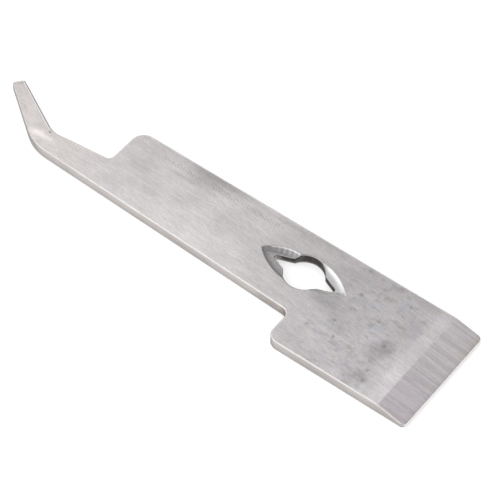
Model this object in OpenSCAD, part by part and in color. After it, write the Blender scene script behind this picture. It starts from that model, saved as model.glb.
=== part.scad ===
// Hive tool: one flat stainless steel bar with a ground scraper blade at +X, a narrow
// frame-lifting hook at -X, and a nail-pulling keyhole set in a pointed recess.
// Z is up, and the flat underside lies on z = 0.

/* [Plate] */
// Thickness of the steel plate
thickness = 4.8; // [4:0.1:6]
// Radius of the rounded corner where the back edge meets the shoulder
shoulder_round = 5.5; // [3:0.5:8]

/* [Blade] */
// Width of the blade, which is the widest part of the tool
blade_w = 50; // [48:1:56]
// From the cutting edge back to the step
blade_len = 62.6; // [58:0.2:64]
// Length of the bevel ground on the upper face
bevel_len = 12.2; // [8:0.1:16]
// Thickness left at the blunt cutting edge
edge_land = 1.9; // [0.5:0.1:2.5]
// Radius of the two corners of the cutting edge
blade_round = 2; // [1:0.5:4]

/* [Shank] */
// Width of the shank where it meets the step
shank_w = 35.7; // [35:0.1:38]
// Angle by which the front edge of the shank closes on the back edge
shank_taper = 2.07; // [1.5:0.01:2.5]
// From the cutting edge back to the shoulder
shoulder_len = 162; // [156:1:168]
// Radius of the inside corner at the step
step_fillet = 3.5; // [2:0.5:5]
// Radius of the outside corner at the step
step_round = 4.5; // [2:0.5:6]

/* [Hook] */
// From the back edge of the plate down to the root of the finger
shoulder_drop = 19; // [18:0.1:20]
// From the shoulder to the inside of the bend
finger_len = 27; // [24:0.5:30]
// Fall of the finger's inner edge between the shoulder and the bend
finger_fall = 2.4; // [1.5:0.1:3]
// Angle of the hook's inner edge to the plate's length
hook_inner_turn = 28.1; // [26:0.1:30]
// Angle of the hook's outer edge to the plate's length
hook_outer_turn = 36; // [34:0.1:38]
// Length of the hook's inner edge
hook_len = 31; // [28:0.5:33]
// Width across the hook at its bend
hook_w = 9.5; // [8.5:0.1:10.5]
// Angle of the hook's end face to the plate's length
hook_end_turn = 51.3; // [45:0.1:60]
// Radius round the inside of the bend
bend_fillet = 12; // [4:1:16]
// Radius round the outside of the bend
bend_round = 22; // [18:1:24]
// Thickness of the hook once its upper face has dropped across the bend
hook_thickness = 4; // [3.5:0.1:4.5]
// Thickness left at the hook's tip
tip_thickness = 3.4; // [2.5:0.1:4]

/* [Nail puller] */
// From the cutting edge back to the middle of the round hole
hole_from_edge = 69.3; // [68.5:0.1:71]
// From the middle of the blade's width to the middle of the round hole
hole_offset = 7.6; // [6:0.1:9]
// Turn of the slots from the plate's length
slot_turn = 0; // [-2:0.1:2]
// Diameter of the round hole
hole_d = 16.2; // [15:0.1:17]
// From the middle of the round hole to the end of the slot nearer the blade
slot_reach = 13.7; // [13:0.1:14.5]
// By how much the other slot is longer
slot_extra = 0.4; // [0:0.1:0.8]
// How far the slots' axis lies from the hole's middle, towards the back edge
slot_lift = 0.6; // [0:0.1:1]
// Width of each slot at the round hole
slot_mouth = 6; // [5:0.1:7]
// Width of each slot at its closed end
slot_end = 2.4; // [1:0.1:3]
// Radius that blends each side of a slot into the round hole
slot_blend = 1.6; // [0.8:0.1:2.5]
// From the middle of the recess to each of its points
recess_reach = 19.5; // [18:0.1:20]
// Half width of the recess on the bolder side of each slot
recess_bold = 7.8; // [7.2:0.1:8]
// Half width of the recess on the slimmer side of each slot
recess_slim = 5.8; // [5:0.1:6.5]
// Angle of the recess walls to the face of the plate
recess_slope = 31; // [27:1:32]

/* [Hidden] */
$fn = 96;
over = 1;             // how far a cutting shape runs past the face that it cuts
bite = 0.004;         // how far a rounding circle crosses the edges that it blends
finger_fillet = 2.5;  // radius at the root of the finger
tip_in_round = 0.8;   // radius at the hook's inner tip
tip_out_round = 1.2;  // radius at the hook's outer tip, the far end of the tool
steel = [0.78, 0.77, 0.76];

function along(angle) = [cos(angle), sin(angle)];

// Where the line through p in direction a meets the line through q in direction b
function crossing(p, a, q, b) =
    let (square_to_b = along(b - 90))
    p + along(a) * (((q - p) * square_to_b) / (along(a) * square_to_b));

// Middle of the arc that rounds a corner, whose two edges leave it in directions a and b
function arc_middle(corner, a, b, radius) =
    corner + (radius - bite) / sin((b - a) / 2) * along((a + b) / 2);

// Corners of the sharp outline, with x measured from the cutting edge
back_y = blade_w / 2;
shank_dir = 180 - shank_taper;
finger_dir = atan2(finger_fall, finger_len);
hook_in_dir = 180 - hook_inner_turn;
hook_out_dir = 180 - hook_outer_turn;
edge_front = [0, -back_y];
edge_back = [0, back_y];
shoulder_top = [-shoulder_len, back_y];
shoulder_root = [-shoulder_len, back_y - shoulder_drop];
bend_in = shoulder_root - [finger_len, finger_fall];
hook_tip_in = bend_in + hook_len * along(hook_in_dir);
step_in = [-blade_len, back_y - shank_w];
step_out = [-blade_len, -back_y];
bend_out = crossing(step_in, shank_dir, bend_in - hook_w * along(hook_in_dir - 90), hook_out_dir);
hook_tip_out = crossing(bend_out, hook_out_dir, hook_tip_in, hook_end_turn);

tip_arc = arc_middle(hook_tip_out, hook_out_dir - 180, hook_end_turn, tip_out_round);
total_len = tip_out_round - tip_arc[0];

// The piece between a corner and the arc that rounds it. The corner's edges leave in directions a and b,
// with b the larger. The piece runs a little past the corner, so that it joins or cuts cleanly.
module corner_piece(corner, a, b, radius) {
    reach = radius / tan((b - a) / 2);
    past_corner = 0.3 * radius;
    difference() {
        polygon([corner + reach * along(a),
                 corner + reach * along(b),
                 corner - past_corner * along((a + b) / 2)]);
        translate(arc_middle(corner, a, b, radius))
            circle(radius);
    }
}

module sharp_outline()
    polygon([edge_front, edge_back, shoulder_top, shoulder_root, bend_in, hook_tip_in,
             hook_tip_out, bend_out, step_in, step_out]);

module outline()
    difference() {
        union() {
            sharp_outline();
            corner_piece(shoulder_root, 90, 180 + finger_dir, finger_fillet);
            corner_piece(bend_in, finger_dir, hook_in_dir, bend_fillet);
            corner_piece(step_in, shank_dir, 270, step_fillet);
        }
        corner_piece(edge_front, 90, 180, blade_round);
        corner_piece(edge_back, 180, 270, blade_round);
        corner_piece(shoulder_top, -90, 0, shoulder_round);
        corner_piece(hook_tip_in, hook_end_turn - 180, hook_in_dir - 180, tip_in_round);
        corner_piece(hook_tip_out, hook_out_dir - 180, hook_end_turn, tip_out_round);
        corner_piece(bend_out, -shank_taper, hook_out_dir, bend_round);
        corner_piece(step_out, 0, 90, step_round);
    }

// Wedge that the blade's bevel takes off the upper face
module bevel() {
    fall = (thickness - edge_land) / bevel_len;
    translate([0, back_y + over, 0])
        rotate([90, 0, 0])
            linear_extrude(blade_w + 2 * over)
                polygon([[-bevel_len, thickness],
                         [over, edge_land - over * fall],
                         [over, thickness + over],
                         [-bevel_len, thickness + over]]);
}

// What the hook loses from its upper face: a ramp that crosses the bend on the skew,
// then a gentle fall to the tip
module hook_relief() {
    ramp_dir = 117;
    ramp_len = 10;
    before_bend = 7;
    tip_run = 50;
    reach_left = 32;
    reach_right = 4;
    translate(bend_in - before_bend * along(ramp_dir))
        rotate(ramp_dir)
            translate([0, reach_left, 0])
                rotate([90, 0, 0])
                    linear_extrude(reach_left + reach_right)
                        polygon([[0, thickness],
                                 [ramp_len, hook_thickness],
                                 [tip_run, tip_thickness],
                                 [tip_run, thickness + over],
                                 [0, thickness + over]]);
}

// One slot along +X, tapered to a round end and blended into the round hole. Its axis lies lift
// to the left of the hole's middle, and it ends reach from it.
module slot(lift, reach) {
    sink = 0.02;
    inside_hole = [hole_d / 4, hole_d / 16];
    hole_r = hole_d / 2;
    end_r = slot_end / 2;
    end_x = reach - end_r;
    taper = (slot_mouth / 2 - end_r) / (end_x - hole_r);
    root = end_r + taper * end_x;
    side_dir = -atan(taper);
    translate([0, lift, 0])
        linear_extrude(thickness + 2 * over)
            union() {
                polygon([[0, -root], [end_x, -end_r], [end_x, end_r], [0, root]]);
                translate([end_x, 0])
                    circle(end_r);
            }
    for (side = [0, 1]) {
        // The middle of the blend lies slot_blend from the slot's side, and hole_r + slot_blend
        // from the middle of the hole
        side_y = root + (1 - 2 * side) * lift + slot_blend / cos(side_dir);
        a = 1 + taper * taper;
        b = -2 * taper * side_y;
        c = side_y * side_y - pow(hole_r + slot_blend, 2);
        blend_x = (-b + sqrt(b * b - 4 * a * c)) / (2 * a);
        blend_at = [blend_x, side_y - taper * blend_x];
        on_side = blend_at + slot_blend * along(side_dir - 90);
        on_hole = blend_at * (hole_r - sink) / (hole_r + slot_blend);
        mirror([0, side, 0])
            linear_extrude(thickness + 2 * over)
                difference() {
                    polygon([inside_hole, on_side - [0, sink], on_hole]);
                    translate(blend_at)
                        circle(slot_blend);
                }
    }
}

module keyhole()
    translate([0, 0, -over]) {
        cylinder(h = thickness + 2 * over, d = hole_d);
        slot(slot_lift, slot_reach);
        rotate(180)
            slot(-slot_lift, slot_reach + slot_extra);
    }

// Cone that opens upward. Its rim passes through the recess's point at +X, and lies farthest
// from the recess's axis at apex_x, where it is half_w away.
module recess_cone(apex_x, half_w, side) {
    point_y = 0.4;
    depth = 2.6;
    rise = half_w - side * point_y;
    rim_r = (pow(recess_reach - apex_x, 2) + rise * rise) / (2 * rise);
    run = 1 / tan(recess_slope);
    translate([apex_x, side * (half_w - rim_r), thickness - depth])
        cylinder(h = depth + over, r1 = rim_r - depth * run, r2 = rim_r + over * run);
}

// Half of the recess, round the slot at +X: two cones overlap, which gives it a point and sloping walls
module recess_half() {
    bold_apex = 1.2;
    slim_apex = 6.1;
    intersection() {
        recess_cone(bold_apex, recess_bold, 1);
        recess_cone(slim_apex, recess_slim, -1);
        translate([0, -blade_w / 2, 0])
            cube([blade_w, blade_w, thickness + over]);
    }
}

module nail_puller() {
    recess_shift = [-0.6, 0.4, 0];
    translate([-hole_from_edge, hole_offset, 0]) {
        rotate(slot_turn)
            keyhole();
        translate(recess_shift)
            for (turn = [0, 180])
                rotate(turn)
                    recess_half();
    }
}

module hive_tool_body()
    color(steel)
        translate([total_len / 2, 0, 0])
            difference() {
                linear_extrude(thickness)
                    outline();
                bevel();
                hook_relief();
                nail_puller();
            }

hive_tool_body();
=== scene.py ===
"""A stainless steel hive tool lying on a white table: a fine mesh of the CAD part, its steel, and the studio.

The shape functions work in millimetres. Along the tool, x is 0 at the cutting edge and falls towards the
hook. Across it, y is 0 on the middle of the blade. z is 0 on the underside.
"""

import math

import bpy
import numpy as np
from mathutils import Matrix, Vector
from mathutils.geometry import delaunay_2d_cdt
from mathutils.kdtree import KDTree


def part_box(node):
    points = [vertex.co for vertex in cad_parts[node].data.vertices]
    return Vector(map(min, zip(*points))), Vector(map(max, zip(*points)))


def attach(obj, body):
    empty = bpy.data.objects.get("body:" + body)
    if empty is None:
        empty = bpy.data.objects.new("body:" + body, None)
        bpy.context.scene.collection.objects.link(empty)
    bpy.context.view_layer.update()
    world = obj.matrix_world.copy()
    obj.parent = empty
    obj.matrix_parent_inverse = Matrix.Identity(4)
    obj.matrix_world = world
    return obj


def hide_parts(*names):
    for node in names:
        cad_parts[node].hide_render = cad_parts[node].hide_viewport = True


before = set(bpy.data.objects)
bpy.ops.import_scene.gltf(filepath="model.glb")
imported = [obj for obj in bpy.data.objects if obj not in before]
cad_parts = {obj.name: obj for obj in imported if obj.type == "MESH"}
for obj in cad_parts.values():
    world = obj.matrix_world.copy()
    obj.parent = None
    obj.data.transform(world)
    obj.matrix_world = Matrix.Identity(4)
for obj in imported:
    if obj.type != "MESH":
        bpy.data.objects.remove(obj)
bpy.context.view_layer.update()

MM = 0.001
LOW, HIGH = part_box("hive_tool_body")
# Where the middle of the cutting edge stands in the frame, at the height of the underside.
ORIGIN = (HIGH[0], (LOW[1] + HIGH[1]) / 2, LOW[2])

# Plate
THICKNESS = 4.8

# Blade
BLADE_W = 50.0
BLADE_LEN = 62.6
BLADE_ROUND = 2.0
MID_BLADE = np.array([-BLADE_LEN / 2, 0.0])

# Bevel, which runs down to a blunt land at the cutting edge, and stands a little higher at the blade's sides
BEVEL_LEN = 12.2
EDGE_LAND = 1.9
BEVEL_SLOPE = (THICKNESS - EDGE_LAND) / BEVEL_LEN
BEVEL_BOW = 0.04
CREASE_BLEND = 0.05

# Shank
SHANK_W = 35.7
SHANK_TAPER = 2.07
SHOULDER_LEN = 162.0
SHOULDER_DROP = 19.0
SHOULDER_ROUND = 5.5
STEP_FILLET = 3.5
STEP_ROUND = 4.5

# Hook
FINGER_LEN = 27.0
FINGER_FALL = 2.4
FINGER_FILLET = 2.5
HOOK_INNER_TURN = 28.1
HOOK_OUTER_TURN = 36.0
HOOK_LEN = 31.0
HOOK_W = 9.5
HOOK_END_TURN = 51.3
BEND_FILLET = 12.0
BEND_ROUND = 22.0
TIP_ROUND = 1.2

# Ramp down to the hook's upper face, which goes on falling a little to the tip
RAMP_DIR = 117.0
RAMP_START = 7.0
RAMP_LEN = 10.0
RAMP_DROP = 0.8
RAMP_FADE = (1.0, 9.0)
RAMP_ROOM = (-SHOULDER_LEN - 20, -SHOULDER_LEN - 8)
TIP_FALL = 0.015
TIP_FALL_BLEND = 4.0

# Keyhole, round the middle of its hole
HOLE = np.array([-69.3, 7.6])
HOLE_R = 8.1
SLOT_REACH = 13.7
SLOT_EXTRA = 0.4
SLOT_LIFT = 0.6
SLOT_MOUTH = 6.0
SLOT_END = 2.4
SLOT_BLEND = 1.6

# Recess, round its own middle: each half has a bold wall and a slim one, which meet in a point
RECESS = HOLE + np.array([-0.6, 0.4])
RECESS_REACH = 19.5
POINT_Y = 0.4
BOLD_APEX, BOLD_HALF = 1.2, 7.8
SLIM_APEX, SLIM_HALF = 6.1, 5.8

# How the recess's walls fall: their slope at the rim, their slope further in, and the run between the two
BOLD_STEEP, BOLD_FLAT, BOLD_RUN = 1.3, 0.05, 1.15
SLIM_STEEP_TO_HOOK, SLIM_STEEP_TO_BLADE = 0.85, 0.6
SLIM_FLAT, SLIM_RUN = 0.55, 2.0
RIM_BLEND = 0.2
WALL_BLEND = 0.3

# Chatter marks, and how far inside the slim wall's rim they fade in and out
CHATTER_DEPTH = 0.075
CHATTER_PITCH = 2.0
CHATTER_IN = (0.2, 0.8)
CHATTER_OUT = (1.4, 2.8)

# Radii that the edges are rubbed to
EDGE_ROUND = 0.55
HOOK_INNER_ROUND = 0.95
HOOK_OUTER_ROUND = 0.35
CUTTING_ROUND = 0.30
MOUTH_ROUND = 0.70
SCOOPED_MOUTH_ROUND = 0.25
UNDER_ROUND = 0.45

# Where one radius gives way to another: along the tool, by the way that an edge faces, and by the recess's
# depth. The cutting edge is finished like the bevel where it faces forward enough.
HOOK_WEAR = (-SHOULDER_LEN - 12, -SHOULDER_LEN - 2)
WEAR_FACING = (-0.4, 0.6)
FORWARD = (0.6, 0.95)
FORWARD_ENOUGH = 0.8
SCOOPED = (0.1, 0.8)

# Rows round the edges, and steps along them
EDGE_SEGMENTS = 5
UNDER_SEGMENTS = 3
WALL_ROWS = 3
OUTLINE_STEP = 1.5
KEYHOLE_STEP = 0.5
TURN_STEP = 6.0
SAME_POINT = 0.01

# Points on the upper face: fine in an oval round the recess, growing wider away from it. A grid is used where
# the wanted step is within these shares of its own, and its points keep clear of the edges and rows.
FACE_STEP = 2.4
RECESS_STEP = 0.36
STEP_GROWTH = 0.25
FINE_HALF_LEN = RECESS_REACH + 1
FINE_HALF_W = 9.0
GRIDS = 4
GRID_SUITS = (0.71, 1.42)
RIM_CLEARANCE = 0.62

# Rows of points along the bevel's crease and the recess's rim, each as its shifts from the line
CREASE_ROWS = (-0.35, 0, 0.35)
CREASE_POINTS = 60
CREASE_STEP, CREASE_MARGIN = 1.0, 0.5
RIM_ROWS = (0.15, 0, -0.15)
RIM_POINTS = 80
RIM_STEP, RIM_MARGIN = 0.4, 0.25
RIM_ROW_FIRST, RIM_ROW_LAST = 0.5, RECESS_REACH - 0.7
CDT_TOLERANCE = 1e-7


# ---------------------------------------------------------------- outline

def along(degrees):
    angle = math.radians(degrees)
    return np.array([math.cos(angle), math.sin(angle)])


def crossing(p, a, q, b):
    """Where the line through p in direction a meets the line through q in direction b."""
    square_to_b = along(b - 90)
    return p + along(a) * ((q - p) @ square_to_b) / (along(a) @ square_to_b)


def outline_corners():
    """The sharp corners of the plate, anticlockwise from above, each with the radius that rounds it."""
    back = BLADE_W / 2
    hook_in = 180 - HOOK_INNER_TURN
    hook_out = 180 - HOOK_OUTER_TURN
    shoulder_root = np.array([-SHOULDER_LEN, back - SHOULDER_DROP])
    bend_in = shoulder_root - np.array([FINGER_LEN, FINGER_FALL])
    tip_in = bend_in + HOOK_LEN * along(hook_in)
    step_in = np.array([-BLADE_LEN, back - SHANK_W])
    hook_side = bend_in - HOOK_W * along(hook_in - 90)
    bend_out = crossing(step_in, 180 - SHANK_TAPER, hook_side, hook_out)
    tip_out = crossing(bend_out, hook_out, tip_in, HOOK_END_TURN)
    return [
        (np.array([0.0, -back]), BLADE_ROUND),
        (np.array([0.0, back]), BLADE_ROUND),
        (np.array([-SHOULDER_LEN, back]), SHOULDER_ROUND),
        (shoulder_root, FINGER_FILLET),
        (bend_in, BEND_FILLET),
        (tip_in, TIP_ROUND),
        (tip_out, TIP_ROUND),
        (bend_out, BEND_ROUND),
        (step_in, STEP_FILLET),
        (np.array([-BLADE_LEN, -back]), STEP_ROUND),
    ]


CORNERS = outline_corners()
BEND_IN = CORNERS[4][0]


def corner_arcs(corners):
    """The arcs that round the corners: (middle, radius, start angle, sweep), with a left turn positive."""
    arcs = []
    for i, (corner, radius) in enumerate(corners):
        come = corner - corners[i - 1][0]
        go = corners[(i + 1) % len(corners)][0] - corner
        heading = math.degrees(math.atan2(come[1], come[0]))
        turn = math.degrees(math.atan2(come[0] * go[1] - come[1] * go[0], come @ go))
        side = 1 if turn > 0 else -1
        start = corner - radius * math.tan(math.radians(abs(turn) / 2)) * along(heading)
        arcs.append((start + side * radius * along(heading + 90), radius, heading - side * 90, turn))
    return arcs


def slot_arcs(lift, reach, turn):
    """The arcs of one slot, clockwise round the hole: into the slot, round its end, and out again.

    With them come the angles at which the slot's two blends touch the hole.
    """
    end_x = reach - SLOT_END / 2
    taper = (SLOT_MOUTH - SLOT_END) / 2 / (end_x - HOLE_R)
    root = SLOT_END / 2 + taper * end_x
    lean = math.degrees(math.atan(taper))
    cos_lean = math.cos(math.radians(lean))
    end_r = (root - taper * reach) * cos_lean / (1 - math.sin(math.radians(lean)))

    def blend(side):
        """The middle of the blend between the hole and the slot's side."""
        side_y = root + side * lift + SLOT_BLEND / cos_lean
        a = 1 + taper * taper
        b = -2 * taper * side_y
        c = side_y * side_y - (HOLE_R + SLOT_BLEND) ** 2
        x = (-b + math.sqrt(b * b - 4 * a * c)) / (2 * a)
        return np.array([x, side * (side_y - taper * x)])

    upper, lower = blend(1), blend(-1)
    upper_angle = math.degrees(math.atan2(upper[1], upper[0]))
    lower_angle = math.degrees(math.atan2(lower[1], lower[0]))
    local = [
        (upper, SLOT_BLEND, upper_angle + 180, 90 - lean - upper_angle),
        (np.array([reach - end_r, lift]), end_r, 90 - lean, 2 * lean - 180),
        (lower, SLOT_BLEND, 90 + lean, 90 - lean + lower_angle),
    ]
    spin = np.array([along(turn), along(turn + 90)])
    placed = [(HOLE + middle @ spin, radius, start + turn, sweep) for middle, radius, start, sweep in local]
    return placed, upper_angle + turn, lower_angle + turn


def keyhole_arcs():
    """The arcs of the whole keyhole, clockwise, so that the steel lies on the left all the way round."""
    right, right_in, right_out = slot_arcs(SLOT_LIFT, SLOT_REACH, 0)
    left, left_in, left_out = slot_arcs(-SLOT_LIFT, SLOT_REACH + SLOT_EXTRA, 180)
    below = (HOLE, HOLE_R, right_out, left_in - 360 - right_out)
    above = (HOLE, HOLE_R, left_out, right_in - left_out)
    return [*right, below, *left, above]


def trace(arcs, straight_step):
    """Points round a closed chain of arcs and straight lines, and the direction out of the steel at each."""
    points, outs = [], []
    for i, (middle, radius, start, sweep) in enumerate(arcs):
        side = 1 if sweep > 0 else -1
        count = max(2, math.ceil(abs(sweep) / TURN_STEP))
        for k in range(count + 1):
            radial = along(start + sweep * k / count)
            points.append(middle + radius * radial)
            outs.append(side * radial)
        next_middle, next_radius, next_start, _ = arcs[(i + 1) % len(arcs)]
        here = points[-1]
        there = next_middle + next_radius * along(next_start)
        pieces = math.ceil(np.linalg.norm(there - here) / straight_step)
        for k in range(1, pieces):
            points.append(here + (there - here) * k / pieces)
            outs.append(outs[-1])
    points, outs = np.array(points), np.array(outs)
    apart = np.linalg.norm(points - np.roll(points, 1, axis=0), axis=1) > SAME_POINT
    return points[apart], outs[apart]


# ---------------------------------------------------------------- heights

def soft_min(a, b, reach):
    return (a + b - np.sqrt((a - b) ** 2 + reach * reach)) / 2


def soft_positive(d, reach):
    return (d + np.sqrt(d * d + reach * reach)) / 2


def smooth(value, low, high):
    t = np.clip((value - low) / (high - low), 0, 1)
    return t * t * (3 - 2 * t)


def bevel_bow(y):
    return BEVEL_BOW * (2 * y / BLADE_W) ** 2


def bevel_height(x, y):
    return EDGE_LAND - BEVEL_SLOPE * x + bevel_bow(y)


def hook_drop(x, y):
    """How far the upper face of the hook lies below the plate's."""
    start = BEND_IN - RAMP_START * along(RAMP_DIR)
    dx, dy = x - start[0], y - start[1]
    forward = dx * along(RAMP_DIR)[0] + dy * along(RAMP_DIR)[1]
    across = dx * along(RAMP_DIR - 90)[0] + dy * along(RAMP_DIR - 90)[1]
    ramp = RAMP_DROP * smooth(forward, 0, RAMP_LEN)
    beyond = TIP_FALL * soft_positive(forward - RAMP_LEN, TIP_FALL_BLEND)
    return (ramp + beyond) * (1 - smooth(across, *RAMP_FADE)) * (1 - smooth(x, *RAMP_ROOM))


def rim_circle(apex, half, side):
    """One arc of the recess's rim, on the half towards the blade."""
    rise = half - side * POINT_Y
    radius = ((RECESS_REACH - apex) ** 2 + rise * rise) / (2 * rise)
    return np.array([apex, side * (half - radius)]), radius


BOLD_MIDDLE, BOLD_R = rim_circle(BOLD_APEX, BOLD_HALF, 1)
SLIM_MIDDLE, SLIM_R = rim_circle(SLIM_APEX, SLIM_HALF, -1)


def rim_depths(x, y):
    """How far a point lies inside each rim arc of its half of the recess, and which half, -1 to the hook."""
    u, v = x - RECESS[0], y - RECESS[1]
    half = np.where(u < 0, -1, 1)
    u, v = u * half, v * half
    bold = BOLD_R - np.hypot(u - BOLD_MIDDLE[0], v - BOLD_MIDDLE[1])
    slim = SLIM_R - np.hypot(u - SLIM_MIDDLE[0], v - SLIM_MIDDLE[1])
    return bold, slim, half


def scoop(inside_rim, steep, flat, run):
    """Fall of a ground wall: steep at the rim, and flatter further in."""
    d = soft_positive(inside_rim, RIM_BLEND)
    return flat * d + (steep - flat) * run * (1 - np.exp(-d / run))


def chatter(x, slim, half):
    """Flutes that the wheel left across the slim wall on the side of the hook."""
    room = smooth(slim, *CHATTER_IN) * (1 - smooth(slim, *CHATTER_OUT)) * (half < 0)
    return CHATTER_DEPTH * room * np.cos((x - RECESS[0]) * 2 * np.pi / CHATTER_PITCH)


def recess_drop(x, y):
    bold, slim, half = rim_depths(x, y)
    bold_fall = scoop(bold, BOLD_STEEP, BOLD_FLAT, BOLD_RUN)
    slim_steep = np.where(half < 0, SLIM_STEEP_TO_HOOK, SLIM_STEEP_TO_BLADE)
    slim_fall = scoop(slim, slim_steep, SLIM_FLAT, SLIM_RUN) + chatter(x, slim, half)
    return np.maximum(soft_min(bold_fall, slim_fall, WALL_BLEND), 0)


def top_height(x, y):
    plate = soft_min(THICKNESS, bevel_height(x, y), CREASE_BLEND)
    return plate - hook_drop(x, y) - recess_drop(x, y)


def outline_round(points, outs):
    """Radius of the upper edge: more on the hook's inner edge and its tip, and less at the cutting edge."""
    at_hook = 1 - smooth(points[:, 0], *HOOK_WEAR)
    inner = smooth(outs @ along(RAMP_DIR), *WEAR_FACING)
    at_cutting_edge = smooth(outs[:, 0], *FORWARD)
    hook_round = HOOK_OUTER_ROUND + (HOOK_INNER_ROUND - HOOK_OUTER_ROUND) * inner
    return EDGE_ROUND + at_hook * (hook_round - EDGE_ROUND) + at_cutting_edge * (CUTTING_ROUND - EDGE_ROUND)


def mouth_round(points):
    """Radius round the keyhole: sharper where the recess has been ground into it."""
    scooped = smooth(recess_drop(points[:, 0], points[:, 1]), *SCOOPED)
    return MOUTH_ROUND + (SCOOPED_MOUTH_ROUND - MOUTH_ROUND) * scooped


# ---------------------------------------------------------------- mesh

class Shell:
    """Points and faces of the tool as they are made, and the kind of steel of each face."""

    def __init__(self):
        self.points = []
        self.faces = []
        self.kinds = []

    def add(self, x, y, z):
        first = len(self.points)
        self.points.extend(zip(x.tolist(), y.tolist(), z.tolist()))
        return np.arange(first, first + len(x))

    def plane(self, row):
        """Where the points of a row lie, seen from above."""
        return np.array([self.points[i][:2] for i in row])

    def band(self, upper, lower, kinds):
        """Joins two rows of points round a loop. The steel lies on the left as the loop runs."""
        for a, b, c, d in zip(upper, np.roll(upper, -1), np.roll(lower, -1), lower):
            self.faces.append((int(a), int(d), int(c), int(b)))
        self.kinds.extend(kinds)


def edge_loops(shell, points, outs, radius, worn, wall):
    """Rounds the upper edge, drops the side wall and rounds the lower edge. Returns the two innermost rows.

    worn and wall are the kinds of steel on the rounded upper edge and on the wall, point by point.
    """
    inner = points - outs * radius[:, None]
    rim = top_height(inner[:, 0], inner[:, 1])
    rows = []
    for k in range(EDGE_SEGMENTS + 1):
        angle = math.pi / 2 * k / EDGE_SEGMENTS
        at = points - outs * (radius * (1 - math.sin(angle)))[:, None]
        rows.append(shell.add(at[:, 0], at[:, 1], rim - radius * (1 - math.cos(angle))))
    wall_top = rim - radius
    for k in range(1, WALL_ROWS):
        z = wall_top + (UNDER_ROUND - wall_top) * k / WALL_ROWS
        rows.append(shell.add(points[:, 0], points[:, 1], z))
    for k in range(UNDER_SEGMENTS + 1):
        angle = math.pi / 2 * k / UNDER_SEGMENTS
        at = points - outs * UNDER_ROUND * (1 - math.cos(angle))
        rows.append(shell.add(at[:, 0], at[:, 1], np.full(len(at), UNDER_ROUND * (1 - math.sin(angle)))))
    # The last strip of the rounded edge is nearly upright, so it is finished like the wall.
    for k in range(len(rows) - 1):
        shell.band(rows[k], rows[k + 1], worn if k < EDGE_SEGMENTS - 1 else wall)
    return rows[0], rows[-1]


def inside(loop, points):
    """Which points lie inside a closed loop."""
    x, y = points[:, 0][:, None], points[:, 1][:, None]
    ax, ay = loop[:, 0][None], loop[:, 1][None]
    bx, by = np.roll(loop[:, 0], -1)[None], np.roll(loop[:, 1], -1)[None]
    spans = (ay > y) != (by > y)
    rise = np.where(by == ay, 1, by - ay)
    return (spans & (x < (bx - ax) * (y - ay) / rise + ax)).sum(axis=1) % 2 == 1


def nearest(points):
    """A tree that finds how far a place is from the nearest of the points."""
    tree = KDTree(len(points))
    for i, p in enumerate(points):
        tree.insert((p[0], p[1], 0), i)
    tree.balance()
    return tree


def top_spacing(points):
    """How far apart the upper face's points lie: close together in the recess, and wide on the flat."""
    u = (points[:, 0] - RECESS[0]) / FINE_HALF_LEN
    v = (points[:, 1] - RECESS[1]) / FINE_HALF_W
    beyond = np.maximum(np.hypot(u, v) - 1, 0) * FINE_HALF_W
    return np.clip(RECESS_STEP + STEP_GROWTH * beyond, RECESS_STEP, FACE_STEP)


def even_spacing(points):
    return np.full(len(points), FACE_STEP)


def triangle_grid(low, high, step):
    rows = np.arange(low[1], high[1], step * math.sqrt(3) / 2)
    return np.array([
        (x, y)
        for j, y in enumerate(rows)
        for x in np.arange(low[0] + (j % 2) * step / 2, high[0], step)
    ])


def scattered(outline, hole, fixed, spacing):
    """Points of ever finer grids over the face, each grid used where its step suits the spacing there."""
    chosen = []
    for level in range(GRIDS):
        step = FACE_STEP / 2 ** level
        grid = triangle_grid(outline.min(axis=0), outline.max(axis=0), step)
        need = spacing(grid)
        suits = need < step * GRID_SUITS[1]
        if level < GRIDS - 1:
            suits &= need >= step * GRID_SUITS[0]
        chosen.append(grid[suits])
    points = np.concatenate(chosen)
    points = points[inside(outline, points) & ~inside(hole, points)]
    tree = nearest(fixed)
    clear = [tree.find((p[0], p[1], 0))[2] > RIM_CLEARANCE * s for p, s in zip(points, spacing(points))]
    return points[np.array(clear)]


def sides_of(triangle):
    a, b, c = triangle
    return frozenset((a, b)), frozenset((b, c)), frozenset((c, a))


def reached(faces, start, walls):
    """The faces that can be reached from the start without crossing a wall, which is a pair of corners."""
    beside = {}
    for n, face in enumerate(faces):
        for side in sides_of(face):
            beside.setdefault(side, []).append(n)
    seen = {start}
    waiting = [start]
    while waiting:
        for side in sides_of(faces[waiting.pop()]):
            if side in walls:
                continue
            for n in beside[side]:
                if n not in seen:
                    seen.add(n)
                    waiting.append(n)
    return [faces[n] for n in sorted(seen)]


def chain(first, count, closed):
    """The pairs of neighbours along a row of points that are numbered from first."""
    pairs = [(first + k, first + k + 1) for k in range(count - 1)]
    if closed:
        pairs.append((first + count - 1, first))
    return pairs


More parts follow.
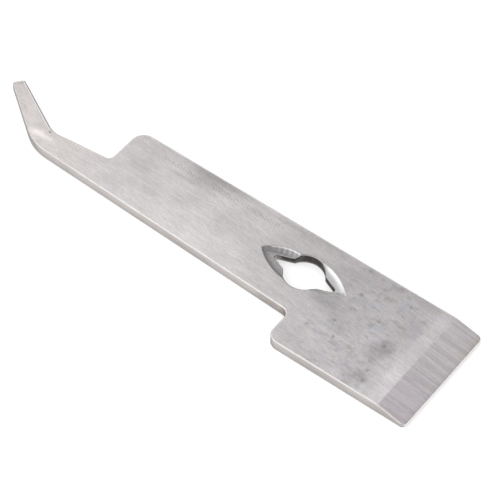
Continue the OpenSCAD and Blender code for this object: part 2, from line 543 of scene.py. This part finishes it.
def triangulated(ring, hole, lines, spacing):
    """Triangles that fill the face between the ring and the hole and follow the given lines.

    Returns the points, the triangles, and the number that each point of the ring and the hole now has.
    """
    rims = chain(0, len(ring), True) + chain(len(ring), len(hole), True)
    edges = list(rims)
    first = len(ring) + len(hole)
    for line in lines:
        edges += chain(first, len(line), False)
        first += len(line)
    fixed = np.concatenate([ring, hole, *lines])
    plane = np.concatenate([fixed, scattered(ring, hole, fixed, spacing)])
    all_triangles = 0
    verts, _, faces, made_of, _, _ = delaunay_2d_cdt(
        [Vector(p) for p in plane], edges, [], all_triangles, CDT_TOLERANCE
    )
    flat = np.array([tuple(v) for v in verts])
    number = {old: new for new, olds in enumerate(made_of) for old in olds}
    walls = {frozenset((number[a], number[b])) for a, b in rims}
    centres = flat[np.array(faces)].mean(axis=1)
    start = int(np.argmin(np.linalg.norm(centres - MID_BLADE, axis=1)))
    return flat, reached(faces, start, walls), [number[k] for k in range(len(ring) + len(hole))]


def fill(shell, outline_row, hole_row, lines, spacing, height, kind_of, flip):
    """Fills the upper or the lower face of the tool, between the outline and the keyhole."""
    ring, hole = shell.plane(outline_row), shell.plane(hole_row)
    flat, triangles, rim_numbers = triangulated(ring, hole, lines, spacing)
    index = dict(zip(rim_numbers, [*outline_row.tolist(), *hole_row.tolist()]))
    rest = [i for i in range(len(flat)) if i not in index]
    made = shell.add(flat[rest, 0], flat[rest, 1], height(flat[rest, 0], flat[rest, 1]))
    index.update(zip(rest, made.tolist()))
    for triangle in triangles:
        corners = tuple(index[i] for i in triangle)
        shell.faces.append(corners[::-1] if flip else corners)
        shell.kinds.append(kind_of(*flat[list(triangle)].mean(axis=0)))


def even(points, step):
    """The same line with its points about one step apart."""
    lengths = np.concatenate([[0], np.cumsum(np.linalg.norm(np.diff(points, axis=0), axis=1))])
    count = max(2, int(round(lengths[-1] / step)) + 1)
    at = np.linspace(0, lengths[-1], count)
    return np.column_stack([np.interp(at, lengths, points[:, k]) for k in (0, 1)])


def trimmed(line, outline, hole, margin):
    """The stretches of a line that lie on the face, clear of its edges by the margin."""
    tree = nearest([*outline, *hole])
    on_face = inside(outline, line) & ~inside(hole, line)
    clear = np.array([tree.find((p[0], p[1], 0))[2] > margin for p in line])
    stretches = [[]]
    for p, kept in zip(line, on_face & clear):
        if kept:
            stretches[-1].append(p)
        elif stretches[-1]:
            stretches.append([])
    return [np.array(stretch) for stretch in stretches if len(stretch) > 1]


def crease_lines():
    """Three rows along the line where the bevel starts, so that its crease stays crisp."""
    y = np.linspace(-BLADE_W / 2, BLADE_W / 2, CREASE_POINTS)
    start = -(THICKNESS - EDGE_LAND - bevel_bow(y)) / BEVEL_SLOPE
    return [np.column_stack([start + shift, y]) for shift in CREASE_ROWS]


def rim_lines():
    """Rows along the recess's rim: just outside it, on it and just inside it."""
    lines = []
    for middle, radius, side in ((BOLD_MIDDLE, BOLD_R, 1), (SLIM_MIDDLE, SLIM_R, -1)):
        first = math.degrees(math.acos((RIM_ROW_FIRST - middle[0]) / radius))
        last = math.degrees(math.acos((RIM_ROW_LAST - middle[0]) / radius))
        for shift in RIM_ROWS:
            angles = np.linspace(first, last, RIM_POINTS) * side
            arc = np.array([middle + (radius + shift) * along(a) for a in angles])
            for half in (1, -1):
                lines.append(RECESS + half * arc)
    return lines


def top_kind(x, y):
    bold, slim, _ = rim_depths(x, y)
    if min(bold, slim) > 0:
        return "recess"
    if bevel_height(x, y) < THICKNESS:
        return "bevel"
    return "face"


def under_height(x, y):
    """The underside is flat, whatever the place."""
    return np.zeros(len(x))


def under_kind(x, y):
    return "face"


def tool_mesh():
    shell = Shell()
    outline, outline_out = trace(corner_arcs(CORNERS), OUTLINE_STEP)
    worn = np.where(outline_out[:, 0] > FORWARD_ENOUGH, "bevel", "edge")
    radius = outline_round(outline, outline_out)
    rim, under_rim = edge_loops(shell, outline, outline_out, radius, worn, ["side"] * len(outline))
    hole, hole_out = trace(keyhole_arcs(), KEYHOLE_STEP)
    mouth, under_mouth = edge_loops(
        shell, hole, hole_out, mouth_round(hole), ["face"] * len(hole), ["hole"] * len(hole)
    )
    lines = []
    for line in crease_lines():
        lines += trimmed(even(line, CREASE_STEP), shell.plane(rim), shell.plane(mouth), CREASE_MARGIN)
    for line in rim_lines():
        lines += trimmed(even(line, RIM_STEP), shell.plane(rim), shell.plane(mouth), RIM_MARGIN)
    fill(shell, rim, mouth, lines, top_spacing, top_height, top_kind, False)
    fill(shell, under_rim, under_mouth, [], even_spacing, under_height, under_kind, True)
    return shell


def add_tool():
    makers = {
        "face": satin_steel,
        "bevel": ground_steel,
        "recess": scooped_steel,
        "side": cut_steel,
        "hole": hole_steel,
        # The rounded edges carry a painted highlight.
        "edge": edge_highlight_steel,
    }
    shell = tool_mesh()
    points = np.array(shell.points) * MM + np.array(ORIGIN)
    mesh = bpy.data.meshes.new("hive_tool")
    mesh.from_pydata([tuple(p) for p in points], [], shell.faces)
    for make in makers.values():
        mesh.materials.append(make())
    order = list(makers)
    for polygon, kind in zip(mesh.polygons, shell.kinds):
        polygon.material_index = order.index(kind)
        polygon.use_smooth = True
    mesh.validate()
    mesh.update()
    tool = bpy.data.objects.new("hive_tool", mesh)
    bpy.context.scene.collection.objects.link(tool)
    weighted = tool.modifiers.new("even shading", "WEIGHTED_NORMAL")
    weighted.keep_sharp = True
    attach(tool, "root")
    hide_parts("hive_tool_body")


# ---------------------------------------------------------------- shader nodes

# Most of what a noise gives lies between these two levels.
NOISE_LOW, NOISE_HIGH = 0.3, 0.7
# How far a patch would reach below the upper face, and a scale so tall that height stops counting.
PATCH_DEPTH = 20
ALL_HEIGHTS = 1e6


class Nodes:
    """Short names for the shader nodes of one material, all of them in millimetres from the cutting edge."""

    def __init__(self, name):
        self.material = bpy.data.materials.new(name)
        self.material.use_nodes = True
        self.tree = self.material.node_tree
        self.shader = self.tree.nodes["Principled BSDF"]
        whole = self.tree.nodes.new("ShaderNodeTexCoord").outputs["Object"]
        self.place = self.moved(whole, ORIGIN, 0, (MM, MM, MM))
        split = self.tree.nodes.new("ShaderNodeSeparateXYZ")
        self.tree.links.new(self.place, split.inputs[0])
        self.x, self.y, self.z = split.outputs

    def link(self, value, socket):
        """Links another node's output to a socket, or sets a plain number or colour on it."""
        if isinstance(value, bpy.types.NodeSocket):
            self.tree.links.new(value, socket)
        else:
            socket.default_value = value

    def moved(self, vector, middle, turn, size):
        """The vector as seen from a middle point, with its axes turned and measured in the given sizes."""
        node = self.tree.nodes.new("ShaderNodeMapping")
        node.vector_type = "TEXTURE"
        node.inputs["Location"].default_value = middle
        node.inputs["Rotation"].default_value = (0, 0, math.radians(turn))
        node.inputs["Scale"].default_value = size
        self.tree.links.new(vector, node.inputs["Vector"])
        return node.outputs["Vector"]

    def length(self, vector):
        node = self.tree.nodes.new("ShaderNodeVectorMath")
        node.operation = "LENGTH"
        self.tree.links.new(vector, node.inputs[0])
        return node.outputs["Value"]

    def noise(self, size, detail, turn=0.0, start=(0, 0, 0)):
        """Noise whose features measure about size along x, y and z."""
        noise = self.tree.nodes.new("ShaderNodeTexNoise")
        noise.inputs["Scale"].default_value = 1.0
        noise.inputs["Detail"].default_value = detail
        self.tree.links.new(self.moved(self.place, start, turn, size), noise.inputs["Vector"])
        return noise.outputs["Fac"]

    def spread(self, value, low, high, to_low, to_high):
        """Turns low to high into to_low to to_high, smoothly, and stays level beyond them."""
        node = self.tree.nodes.new("ShaderNodeMapRange")
        node.interpolation_type = "SMOOTHSTEP"
        self.link(value, node.inputs["Value"])
        for name, number in (("From Min", low), ("From Max", high), ("To Min", to_low), ("To Max", to_high)):
            node.inputs[name].default_value = number
        return node.outputs["Result"]

    def vary(self, noise, least, most):
        """Brightness that follows a noise between the two levels."""
        return self.spread(noise, NOISE_LOW, NOISE_HIGH, least, most)

    def math(self, kind, a, b=0):
        node = self.tree.nodes.new("ShaderNodeMath")
        node.operation = kind
        self.link(a, node.inputs[0])
        self.link(b, node.inputs[1])
        return node.outputs["Value"]

    def product(self, *values):
        total = values[0]
        for value in values[1:]:
            total = self.math("MULTIPLY", total, value)
        return total

    def patch(self, x, y, long, wide, turn=0.0, ragged=0.4):
        """1 in the middle of a ragged oval patch, seen from above, falling to 0 round its rim."""
        oval = self.moved(self.place, (x, y, THICKNESS), turn, (long, wide, PATCH_DEPTH))
        size = min(long, wide)
        own_place_in_noise = (x * 3, y * 5, 0)
        rough = self.noise((size, size, size), 3.0, start=own_place_in_noise)
        reach = self.math("ADD", self.length(oval), self.spread(rough, 0.25, 0.75, -ragged, ragged))
        return self.spread(reach, 0.1, 1.3, 1.0, 0.0)

    def distance(self, x, y):
        """How far a point is from an upright line, in millimetres."""
        return self.length(self.moved(self.place, (x, y, 0), 0, (1, 1, ALL_HEIGHTS)))

    def ticks(self, first, last, y, height, pitch, width):
        """A row of short slanted marks along the tool, between two places, worn away here and there."""
        slant, soft_side, soft_end = 0.3, 0.1, 0.2
        slanted = self.math("ADD", self.product(self.y, slant), self.x)
        phase = self.math("FRACT", self.math("DIVIDE", slanted, pitch))
        off = self.math("ABSOLUTE", self.math("SUBTRACT", phase, 0.5))
        half = width / pitch / 2
        bars = self.spread(off, half + soft_side, half - soft_side, 0, 1)
        beside = self.math("ABSOLUTE", self.math("SUBTRACT", self.y, y))
        tall = self.spread(beside, height / 2 + soft_end, height / 2 - soft_end, 0, 1)
        after_first = self.spread(self.x, first, first + 1, 0, 1)
        before_last = self.spread(self.x, last - 1, last, 1, 0)
        worn = self.spread(self.noise((1.7, 1.2, 1.2), 3.0), 0.35, 0.6, 0.1, 1)
        return self.product(bars, tall, after_first, before_last, worn)

    def run(self, value, stops):
        """A value that goes smoothly through the given (place, level) stops."""
        low, high = stops[0][0], stops[-1][0]
        node = self.tree.nodes.new("ShaderNodeValToRGB")
        ramp = node.color_ramp
        ramp.interpolation = "EASE"
        shares = [(place - low) / (high - low) for place, _ in stops]
        for share in shares[1:-1]:
            ramp.elements.new(share)
        for element, share, (_, level) in zip(ramp.elements, shares, stops):
            element.position = share
            element.color = (level, level, level, 1)
        part = self.tree.nodes.new("ShaderNodeMapRange")
        self.link(value, part.inputs["Value"])
        part.inputs["From Min"].default_value = low
        part.inputs["From Max"].default_value = high
        self.tree.links.new(part.outputs["Result"], node.inputs["Fac"])
        return node.outputs["Color"]

    def mix(self, amount, a, b, kind="MIX"):
        """Two colours mixed. The colour sockets of the node share their names, so they go by number."""
        node = self.tree.nodes.new("ShaderNodeMix")
        node.data_type = "RGBA"
        node.blend_type = kind
        self.link(amount, node.inputs[0])
        for value, socket in ((a, node.inputs[6]), (b, node.inputs[7])):
            self.link(value if isinstance(value, bpy.types.NodeSocket) else (*value, 1), socket)
        return node.outputs[2]

    def shaded(self, colour, shade):
        """The colour made darker or brighter by a shade, which leaves it alone at 1."""
        return self.mix(1.0, colour, shade, "MULTIPLY")

    def bump(self, height, strength, distance):
        node = self.tree.nodes.new("ShaderNodeBump")
        node.inputs["Strength"].default_value = strength
        node.inputs["Distance"].default_value = distance
        self.tree.links.new(height, node.inputs["Height"])
        self.tree.links.new(node.outputs["Normal"], self.shader.inputs["Normal"])

    def metal(self, colour, roughness):
        self.shader.inputs["Metallic"].default_value = 1.0
        self.link(colour, self.shader.inputs["Base Color"])
        self.link(roughness, self.shader.inputs["Roughness"])
        return self.material


# ---------------------------------------------------------------- steel

STEEL = (0.63, 0.597, 0.600)
WARM = (0.645, 0.600, 0.588)
COOL = (0.570, 0.575, 0.630)
PURPLE = (0.590, 0.540, 0.600)
BROWN = (0.600, 0.545, 0.510)
GRIME = (0.20, 0.18, 0.18)
# Painted shade in the step's concave corner
STEP_SHADE_BROWN = (0.30, 0.24, 0.21)
SIDE_STEEL = (0.620, 0.582, 0.565)
# Painted highlight on the rounded edges
EDGE_HIGHLIGHT_STEEL = (0.86, 0.835, 0.825)
SCOOPED_STEEL = (0.56, 0.545, 0.545)
# Painted highlights in the recess: its back rim towards the hook, and its bold wall towards the blade
RIM_HIGHLIGHT_COLOUR = (0.95, 0.94, 0.94)
WALL_HIGHLIGHT_COLOUR = (0.94, 0.93, 0.93)
# Painted shade on the keyhole's walls, painted light low down on them, and a painted glint at the left slot's
# end
HOLE_SHADE = (0.055, 0.049, 0.047)
LIGHTER_HOLE_SHADE = (0.10, 0.09, 0.087)
HOLE_FOOT_LIGHT = (0.45, 0.43, 0.42)
SLOT_GLINT = (0.36, 0.34, 0.33)

# Depths of the grain in the steel, in metres
FINE_BUMP = 0.00002
COARSE_BUMP = 0.00003

# Worn and dirty places on the upper face, and painted shade beside the bend's painted highlight: along,
# across, half length, half width, turn, darkness, raggedness.
SMUDGES_AND_SHADE = [
    (-124.0, 24.5, 22, 6.0, 0, 0.22, 0.15),
    (-122.0, 24.0, 13, 3.0, 0, 0.12, 0.15),
    (-126.0, 18.5, 15, 3.5, 2, 0.12, 0.3),
    (-136.0, 16.2, 4, 0.9, 0, 0.12, 0.4),
    (-25.5, -4.0, 6.5, 9.0, 0, 0.19, 0.3),
    (-24.8, -3.4, 3.2, 3.4, 30, 0.15, 0.3),
    (-26.0, -19.5, 6.0, 5.5, 0, 0.21, 0.3),
    (-55.0, 4.0, 9.0, 7.0, 0, 0.16, 0.4),
    (-44.0, -4.0, 7.0, 5.0, 20, 0.10, 0.4),
    (-152.0, 14.0, 6.0, 6.0, 0, 0.08, 0.4),
    (-86.0, 22.5, 8.0, 1.2, 0, 0.16, 0.4),
    # Painted shade beside the bend's painted highlight, in this row and the next.
    (-190.3, -3.8, 3.4, 1.4, 14, 0.14, 0.4),
    (-195.0, 3.4, 3.6, 1.6, 0, 0.10, 0.4),
    (-189.8, 2.7, 1.0, 0.9, 0, 0.5, 0.4),
    (-217.0, 15.9, 4.5, 1.7, 51, 0.16, 0.4),
    (-208.0, 8.0, 5.0, 1.5, -35, 0.06, 0.4),
]
# Painted highlights across the bend, where the upper face ramps down to the hook: the same, with how much
# brighter in place of the darkness.
BEND_HIGHLIGHTS = [
    (-193.2, -0.4, 5.4, 2.1, 8, 0.30, 0.25),
    (-187.6, -0.2, 2.2, 1.3, 0, 0.18, 0.25),
]
# Small round spots of dirt on the blade: along and across.
SPOTS = [
    (-46.0, 12.1), (-33.6, 5.8), (-25.4, -2.2), (-23.8, -14.7), (-22.6, -19.5),
    (-46.8, -3.8), (-54.1, -11.2), (-42.7, -9.9), (-27.8, 18.6), (-49.7, 23.0),
]
SPOT_SIZE = 0.95
# Brown painted shade on the side, in the step's concave corner: along, across, half length, half width,
# amount.
STEP_CORNER_SHADE = [(-70, -11, 9, 3, 0.5), (-64, -12, 3.5, 3.5, 0.8)]
# Painted light and shade on the brushed face along the tool, from the hook to the bevel, and across it:
# partly the face's own tone, partly how the light falls on it.
FACE_SHADE_ALONG = [
    (-192, 1.01), (-178, 1.01), (-150, 0.96), (-118, 1.0), (-98, 0.96), (-80, 0.86), (-62, 0.81),
    (-48, 0.79), (-32, 0.82), (-24, 0.80), (-19, 0.85), (-16, 0.945), (-12, 0.945),
]
FACE_SHADE_ACROSS = [(-24, 1.13), (-16, 1.11), (-6, 1.06), (6, 0.97), (20, 0.94), (25, 0.88)]


def brushed(n, fine):
    """Brightness of the brushed face before its stains, with painted light and shade along and across the
    tool. The streaks are calmer on the hook.
    """
    hatch = n.noise((4, 0.6, 0.6), 2.0, turn=-20.0)
    broad = n.noise((16, 1.6, 1.6), 3.0, turn=-4.0)
    streaks = n.product(n.vary(fine, 0.92, 1.08), n.vary(hatch, 0.95, 1.05), n.vary(broad, 0.96, 1.04))
    on_hook = n.spread(n.x, -178, -190, 0, 0.45)
    grit = n.noise((1.0, 0.8, 0.8), 3.0)
    cloud = n.noise((11, 7, 7), 4.0)
    return n.product(
        # Painted light and shade along and across the face.
        n.run(n.x, FACE_SHADE_ALONG),
        n.run(n.y, FACE_SHADE_ACROSS),
        n.mix(on_hook, streaks, (1, 1, 1)),
        n.vary(grit, 0.95, 1.05),
        n.vary(cloud, 0.94, 1.05),
    )


def stains_and_painted_light(n, shade, on_blade):
    """The same brightness with the smudges and the painted shade at the bend, the painted highlights at the
    bend, and the blade's mottling.
    """
    for x, y, long, wide, turn, dark, ragged in SMUDGES_AND_SHADE:
        shade = n.product(shade, n.spread(n.patch(x, y, long, wide, turn, ragged), 0, 1, 1, 1 - dark))
    # Painted highlights across the bend.
    for x, y, long, wide, turn, light, ragged in BEND_HIGHLIGHTS:
        shade = n.product(shade, n.spread(n.patch(x, y, long, wide, turn, ragged), 0, 1, 1, 1 + light))
    blotches = n.spread(n.noise((3.2, 2.0, 2.0), 4.0, 10.0, (5, 2, 0)), 0.5, 0.68, 0, 0.16)
    before_bevel = n.spread(n.x, -20, -17, 1, 0)
    return n.product(shade, n.math("SUBTRACT", 1.02, n.product(blotches, on_blade, before_bevel)))


def satin_steel():
    """The long faces, brushed along the tool, with stains and spots of dirt, painted highlights and painted
    shade at the bend, and painted light and shade along and across the face.
    """
    n = Nodes("satin_steel")
    fine = n.noise((6, 0.42, 0.42), 3.0, turn=-2.0)
    on_blade = n.spread(n.x, -75, -40, 0, 1)
    tint = n.noise((6, 4, 4), 3.0, 20.0, (40, 9, 0))
    colour = n.mix(n.product(n.spread(tint, 0.52, 0.68, 0, 0.55), on_blade), STEEL, COOL)
    colour = n.mix(n.product(n.spread(tint, 0.5, 0.34, 0, 0.5), on_blade), colour, PURPLE)
    colour = n.mix(n.spread(n.x, -150, -185, 0, 0.8), colour, WARM)
    colour = n.shaded(colour, stains_and_painted_light(n, brushed(n, fine), on_blade))
    marks = n.ticks(first=-147, last=-89.5, y=19.6, height=1.9, pitch=1.25, width=0.5)
    colour = n.mix(n.product(marks, 0.4), colour, GRIME)
    for x, y in SPOTS:
        colour = n.mix(n.product(n.patch(x, y, SPOT_SIZE, SPOT_SIZE), 0.5), colour, GRIME)
    n.bump(fine, 0.3, FINE_BUMP)
    return n.metal(colour, n.vary(fine, 0.32, 0.42))


def ground_steel():
    """The bevel and the rounded cutting edge below it, ground with a coarser wheel, with painted shade along
    the foot of the bevel.
    """
    n = Nodes("ground_steel")
    fine = n.noise((8, 0.5, 0.5), 4.0, turn=3.0)
    broad = n.noise((60, 0.9, 6.0), 2.0, 3.0, (7, 3, 0))
    # Painted shade along the foot of the bevel, by the cutting edge
    edge_shade = n.spread(n.x, -2.4, -0.5, 1.0, 0.93)
    hue = n.noise((8, 13, 9), 2.0, start=(3, 5, 0))
    colour = n.mix(n.spread(n.y, 10, -22, 0.15, 0.6), STEEL, PURPLE)
    colour = n.mix(n.product(n.spread(hue, 0.45, 0.65, 0, 0.8), n.spread(n.x, -9, -1, 0, 1)), colour, BROWN)
    colour = n.shaded(colour, n.product(n.vary(fine, 0.97, 1.12), n.vary(broad, 0.90, 1.11), edge_shade))
    n.bump(fine, 0.4, COARSE_BUMP)
    return n.metal(colour, n.vary(fine, 0.33, 0.44))


def scooped_steel():
    """The walls of the recess, left coarse and dull by the wheel, with painted highlights on the back rim
    towards the hook and on the bold wall towards the blade, painted shade on the walls towards the hook, and
    painted light on the front walls.
    """
    n = Nodes("scooped_steel")
    grain = n.noise((0.9, 1.1, 1.1), 3.0)
    grit = n.noise((0.35, 0.35, 0.35), 2.0)
    near_hook = n.spread(n.x, HOLE[0] + 4, HOLE[0] - 2, 0, 1)
    near_blade = n.spread(n.x, HOLE[0] + 4, HOLE[0] + 8, 0, 1)
    front = n.spread(n.y, HOLE[1] + 1, HOLE[1] - 2, 0, 1)
    back = n.spread(n.y, HOLE[1] + 2, HOLE[1] + 3, 0, 1)
    shade = n.product(
        n.vary(grain, 0.92, 1.06),
        n.vary(grit, 0.95, 1.04),
        # Painted shade on the walls towards the hook, and painted light on the front walls
        n.spread(near_hook, 0, 1, 1.0, 0.70),
        n.spread(front, 0, 1, 1.0, 1.3),
    )
    slim_depth = n.math("SUBTRACT", SLIM_R, n.distance(*(RECESS - SLIM_MIDDLE)))
    # Painted highlight along the slim wall's rim at the back, towards the hook
    rim_highlight = n.product(n.spread(slim_depth, 0.7, 0.25, 0, 1), near_hook, back)
    bold_depth = n.math("SUBTRACT", BOLD_R, n.distance(*(RECESS + BOLD_MIDDLE)))
    # Painted highlight on the bold wall towards the blade
    wall_highlight = n.product(n.spread(bold_depth, 2.6, 0.4, 0, 1), near_blade)
    colour = n.shaded(SCOOPED_STEEL, shade)
    colour = n.mix(n.product(rim_highlight, 0.85), colour, RIM_HIGHLIGHT_COLOUR)
    colour = n.mix(wall_highlight, colour, WALL_HIGHLIGHT_COLOUR)
    n.bump(grit, 0.25, COARSE_BUMP)
    return n.metal(colour, n.spread(front, 0, 1, 0.36, 0.6))


def cut_steel():
    """The side faces, cut square and then linished, with painted shade towards the table and painted light
    towards the top.
    """
    n = Nodes("cut_steel")
    lines = n.noise((6, 6, 0.25), 3.0)
    cloud = n.noise((14, 14, 6), 3.0)
    shade = n.product(
        n.vary(lines, 0.91, 1.08),
        n.vary(cloud, 0.90, 1.05),
        # Painted shade low down by the table, and painted light towards the top
        n.spread(n.z, 0.3, 1.0, 0.70, 1.0),
        n.spread(n.z, 0.8, 4.2, 0.97, 1.17),
    )
    tint = n.spread(n.noise((12, 12, 3), 3.0, start=(5, 0, 0)), 0.5, 0.7, 0, 0.6)
    colour = n.mix(tint, SIDE_STEEL, BROWN)
    # Brown painted shade in the step's concave corner
    for x, y, long, wide, amount in STEP_CORNER_SHADE:
        colour = n.mix(n.product(n.patch(x, y, long, wide, ragged=0.3), amount), colour, STEP_SHADE_BROWN)
    n.bump(lines, 0.3, FINE_BUMP)
    return n.metal(n.shaded(colour, shade), n.vary(lines, 0.36, 0.46))


def edge_highlight_steel():
    """The rounded edges, worn smoother than the faces and painted much lighter than them as a highlight."""
    n = Nodes("edge_highlight_steel")
    scuffs = n.noise((3.0, 3.0, 0.8), 3.0)
    n.bump(scuffs, 0.2, FINE_BUMP)
    return n.metal(n.shaded(EDGE_HIGHLIGHT_STEEL, n.vary(scuffs, 0.90, 1.03)), n.vary(scuffs, 0.24, 0.34))


def hole_steel():
    """The walls of the keyhole, rough from cutting and painted dark as shade, with painted light low down and
    a painted glint at the left slot's end.
    """
    n = Nodes("hole_steel")
    drag = n.noise((1.6, 1.6, 4.0), 3.0)
    slot_end = HOLE[0] - SLOT_REACH
    # Painted shade on the walls, varied by the noise
    colour = n.mix(n.vary(drag, 0, 1), HOLE_SHADE, LIGHTER_HOLE_SHADE)
    # Painted light low down on the walls
    colour = n.mix(n.spread(n.z, 0.3, 1.5, 0.55, 0.0), colour, HOLE_FOOT_LIGHT)
    # Painted glint at the left slot's end
    colour = n.mix(n.spread(n.x, slot_end + 2.2, slot_end + 0.8, 0, 0.7), colour, SLOT_GLINT)
    n.bump(drag, 0.3, COARSE_BUMP)
    return n.metal(colour, 0.5)


# ---------------------------------------------------------------- studio

# The camera's angles in degrees, its place in metres, and its sensor and lens in millimetres
CAMERA_AZIMUTH = 37.26
CAMERA_ELEVATION = 51.43
CAMERA_ROLL = 0.4205
CAMERA_TARGET = Vector((0.015796, 0.006456, 0))
CAMERA_DISTANCE = 0.9759
CAMERA_SENSOR = 36
CAMERA_LENS = 185.18
CAMERA_SHIFT = (-0.001, 0.001)

# The table, in metres, with a gap that keeps its top clear of the tool's underside
TABLE_HALF = 3.0
TABLE_GAP = 0.00005
TABLE_WHITE = 0.9
TABLE_ROUGHNESS = 0.9
TABLE_GLOW = 0.50

BASE_LIGHT = 0.42
# Soft lobes of light: their direction, the degrees from it at which they end, the degrees within which they
# are full, and their strength, which takes light away where it is below 0. Those that point down stand for
# light that comes back up off the table.
LOBES = [
    ((-0.38, 0.45, 0.80), 45, 10, 0.62),
    ((-0.85, -0.33, 0.44), 33, 9, 0.54),
    ((-0.38, -0.80, 0.55), 42, 12, 0.85),
    ((-0.30, -0.75, -0.60), 50, 15, 0.5),
    ((0.55, 0.45, -0.70), 50, 15, 1.3),
    ((0.62, -0.45, -0.65), 40, 12, 0.6),
    ((-0.47, 0.70, 0.54), 18, 4, 0.45),
    ((-0.50, 0.30, -0.83), 45, 10, 0.15),
    ((0.0, 1.0, 0.0), 60, 20, -0.2),
    ((0.6, -0.6, 0.5), 45, 15, 0.3),
    ((0.7, 0.6, 0.35), 42, 15, 0.2),
]


def add_camera():
    """A long lens that looks down at the tool from in front of it and to the right."""
    azimuth, elevation = math.radians(CAMERA_AZIMUTH), math.radians(CAMERA_ELEVATION)
    roll = math.radians(CAMERA_ROLL)
    back = Vector((
        math.sin(azimuth) * math.cos(elevation),
        -math.cos(azimuth) * math.cos(elevation),
        math.sin(elevation),
    ))
    level_right = Vector((math.cos(azimuth), math.sin(azimuth), 0))
    level_up = back.cross(level_right)
    right = math.cos(roll) * level_right + math.sin(roll) * level_up
    up = math.cos(roll) * level_up - math.sin(roll) * level_right
    data = bpy.data.cameras.new("camera")
    data.sensor_width = CAMERA_SENSOR
    data.lens = CAMERA_LENS
    data.shift_x, data.shift_y = CAMERA_SHIFT
    camera = bpy.data.objects.new("camera", data)
    place = Matrix.Translation(CAMERA_TARGET + CAMERA_DISTANCE * back)
    camera.matrix_world = place @ Matrix((right, up, back)).transposed().to_4x4()
    bpy.context.scene.collection.objects.link(camera)
    bpy.context.scene.camera = camera


def white_table():
    """Matt white, with a glow of its own that keeps it white in the soft light."""
    n = Nodes("white_table")
    n.shader.inputs["Base Color"].default_value = (TABLE_WHITE, TABLE_WHITE, TABLE_WHITE, 1)
    n.shader.inputs["Roughness"].default_value = TABLE_ROUGHNESS
    n.shader.inputs["Specular IOR Level"].default_value = 0.0
    n.shader.inputs["Emission Color"].default_value = (1, 1, 1, 1)
    n.shader.inputs["Emission Strength"].default_value = TABLE_GLOW
    return n.material


def add_floor():
    """The table top. The steel doesn't mirror it: the lobes that point down light its sides instead."""
    mesh = bpy.data.meshes.new("table_top")
    ends = (-TABLE_HALF, TABLE_HALF)
    mesh.from_pydata([(x, y, 0) for y in ends for x in ends], [], [(0, 1, 3, 2)])
    mesh.materials.append(white_table())
    floor = bpy.data.objects.new("table_top", mesh)
    floor.location.z = -TABLE_GAP
    floor.visible_glossy = False
    bpy.context.scene.collection.objects.link(floor)


def lobe(tree, toward, direction, outer, inner, strength):
    """Light from one direction, full within inner degrees of it and gone beyond outer degrees."""
    dot = tree.nodes.new("ShaderNodeVectorMath")
    dot.operation = "DOT_PRODUCT"
    dot.inputs[1].default_value = Vector(direction).normalized()
    tree.links.new(toward, dot.inputs[0])
    soft = tree.nodes.new("ShaderNodeMapRange")
    soft.interpolation_type = "SMOOTHSTEP"
    tree.links.new(dot.outputs["Value"], soft.inputs["Value"])
    soft.inputs["From Min"].default_value = math.cos(math.radians(outer))
    soft.inputs["From Max"].default_value = math.cos(math.radians(inner))
    soft.inputs["To Min"].default_value = 0.0
    soft.inputs["To Max"].default_value = strength
    return soft.outputs["Result"]


def add_world():
    """A white studio, with soft lobes of light on an even base."""
    world = bpy.data.worlds.new("studio")
    world.use_nodes = True
    tree = world.node_tree
    bpy.context.scene.world = world
    toward = tree.nodes.new("ShaderNodeTexCoord").outputs["Generated"]
    lights = [lobe(tree, toward, *shape) for shape in LOBES]
    total = lights[0]
    for light in lights[1:]:
        add = tree.nodes.new("ShaderNodeMath")
        add.operation = "ADD"
        tree.links.new(total, add.inputs[0])
        tree.links.new(light, add.inputs[1])
        total = add.outputs["Value"]
    base = tree.nodes.new("ShaderNodeMath")
    base.operation = "ADD"
    base.inputs[1].default_value = BASE_LIGHT
    tree.links.new(total, base.inputs[0])
    background = tree.nodes["Background"]
    background.inputs["Color"].default_value = (1, 1, 1, 1)
    tree.links.new(base.outputs["Value"], background.inputs["Strength"])
    bpy.context.scene.view_settings.view_transform = "Standard"


add_camera()
add_tool()
add_floor()
add_world()
